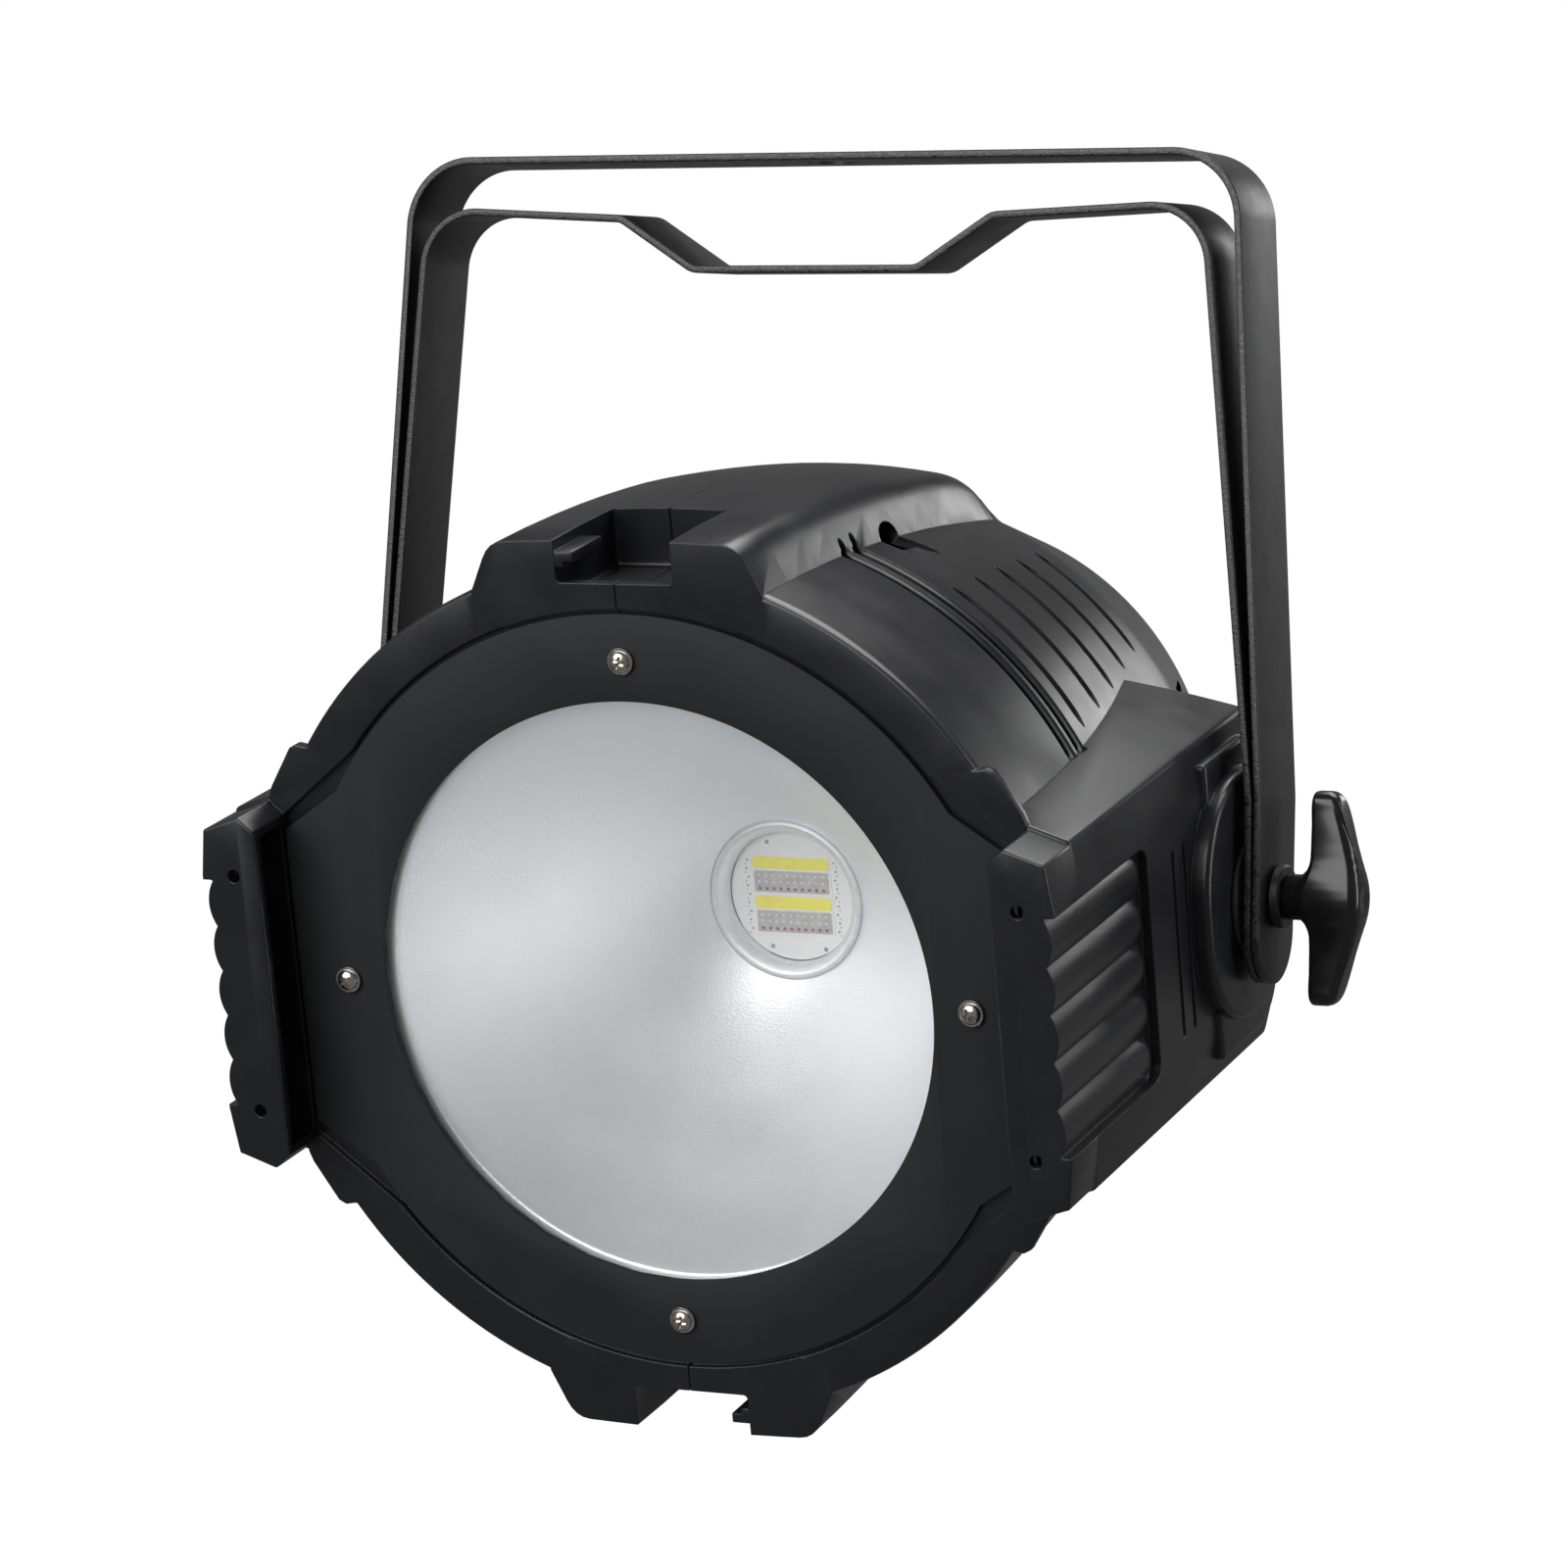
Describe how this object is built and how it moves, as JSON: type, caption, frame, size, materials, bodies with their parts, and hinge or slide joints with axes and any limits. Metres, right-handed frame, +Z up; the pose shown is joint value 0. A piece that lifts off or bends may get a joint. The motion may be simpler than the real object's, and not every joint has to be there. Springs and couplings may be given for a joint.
{
  "type": "par can light",
  "caption": "Par can stage light: round black moulded housing with a deep reflector behind glass, two nested bent yokes and winged clamp knobs at the tilt axis.",
  "frame": {"origin": "centre of the clamp hole, on the upper face of the outer yoke's bar", "axes": "+Z up, square to the outer yoke's bar; +X along the tilt axis; the light shines towards -Y, tipped 13.8 degrees down at rest"},
  "size_m": [0.3882, 0.325, 0.4193],
  "materials": {
    "housing_plastic": "satin",
    "black_paint": "matte",
    "knob_plastic": "gloss",
    "plated_steel": "satin",
    "aluminium": "matte",
    "lens_glass": "polished",
    "rubber": "matte",
    "led_ceramic": "matte",
    "circuit_board": "satin",
    "black_nylon": "satin",
    "display_filter": "gloss"
  },
  "bodies": {
    "outer_yoke": {"outer_yoke": "black_paint"},
    "head": {"right_shell": "housing_plastic", "left_shell": "housing_plastic", "shell_screw_top": "plated_steel", "shell_screw_bottom": "plated_steel", "front_plate": "black_paint", "lens_gasket": "rubber", "glass_lens": "lens_glass", "reflector": "aluminium", "cob_holder": "aluminium", "cob_led": "led_ceramic", "heat_sink": "aluminium", "carrier": "plated_steel", "power_board": "circuit_board", "control_board": "circuit_board", "fan_frame": "black_nylon", "rear_panel": "black_paint", "fan_guard": "plated_steel", "power_inlet": "black_nylon", "power_outlet": "black_nylon", "dmx_input": "black_nylon", "dmx_output": "black_nylon", "fuse_holder": "black_nylon", "safety_eyelet": "plated_steel", "display_window": "display_filter", "display_board": "circuit_board", "front_screw_top": "plated_steel", "front_screw_right": "plated_steel", "front_screw_bottom": "plated_steel", "front_screw_left": "plated_steel", "rear_screw_1": "plated_steel", "rear_screw_2": "plated_steel", "rear_screw_3": "plated_steel", "rear_screw_4": "plated_steel", "right_friction_washer": "rubber", "right_pivot_insert": "plated_steel", "left_friction_washer": "rubber", "left_pivot_insert": "plated_steel"},
    "inner_yoke": {"inner_yoke": "black_paint"},
    "fan": {"fan_rotor": "black_nylon"},
    "right_clamp": {"right_knob": "knob_plastic", "right_knob_bush": "black_nylon", "right_knob_stud": "plated_steel"},
    "left_clamp": {"left_knob": "knob_plastic", "left_knob_bush": "black_nylon", "left_knob_stud": "plated_steel"},
    "button_menu": {"button_menu": "black_nylon"},
    "button_down": {"button_down": "black_nylon"},
    "button_up": {"button_up": "black_nylon"},
    "button_enter": {"button_enter": "black_nylon"}
  },
  "joints": [
    {"name": "head_tilt", "type": "hinge", "parent": "outer_yoke", "child": "head", "pos_m": [0, 0, -0.243], "axis": [1, 0, 0], "range_deg": [-100, 100]},
    {"name": "inner_yoke_swing", "type": "hinge", "parent": "head", "child": "inner_yoke", "pos_m": [0, 0, -0.243], "axis": [1, 0, 0], "range_deg": [-226, 70]},
    {"name": "right_knob_turn", "type": "hinge", "parent": "head", "child": "right_clamp", "pos_m": [0, 0, -0.243], "axis": [1, 0, 0], "range_deg": [0, 360]},
    {"name": "left_knob_turn", "type": "hinge", "parent": "head", "child": "left_clamp", "pos_m": [0, 0, -0.243], "axis": [-1, 0, 0], "range_deg": [0, 360]},
    {"name": "fan_spin", "type": "hinge", "parent": "head", "child": "fan", "pos_m": [0, 0, -0.243], "axis": [0, 0.9711, 0.2385], "continuous": true},
    {"name": "menu_press", "type": "slide", "parent": "head", "child": "button_menu", "axis": [0, -0.9711, -0.2385], "range_m": [0, 0.0015], "stiffness_N_per_m": 400, "springref_m": -0.001},
    {"name": "down_press", "type": "slide", "parent": "head", "child": "button_down", "axis": [0, -0.9711, -0.2385], "range_m": [0, 0.0015], "stiffness_N_per_m": 400, "springref_m": -0.001},
    {"name": "up_press", "type": "slide", "parent": "head", "child": "button_up", "axis": [0, -0.9711, -0.2385], "range_m": [0, 0.0015], "stiffness_N_per_m": 400, "springref_m": -0.001},
    {"name": "enter_press", "type": "slide", "parent": "head", "child": "button_enter", "axis": [0, -0.9711, -0.2385], "range_m": [0, 0.0015], "stiffness_N_per_m": 400, "springref_m": -0.001}
  ]
}
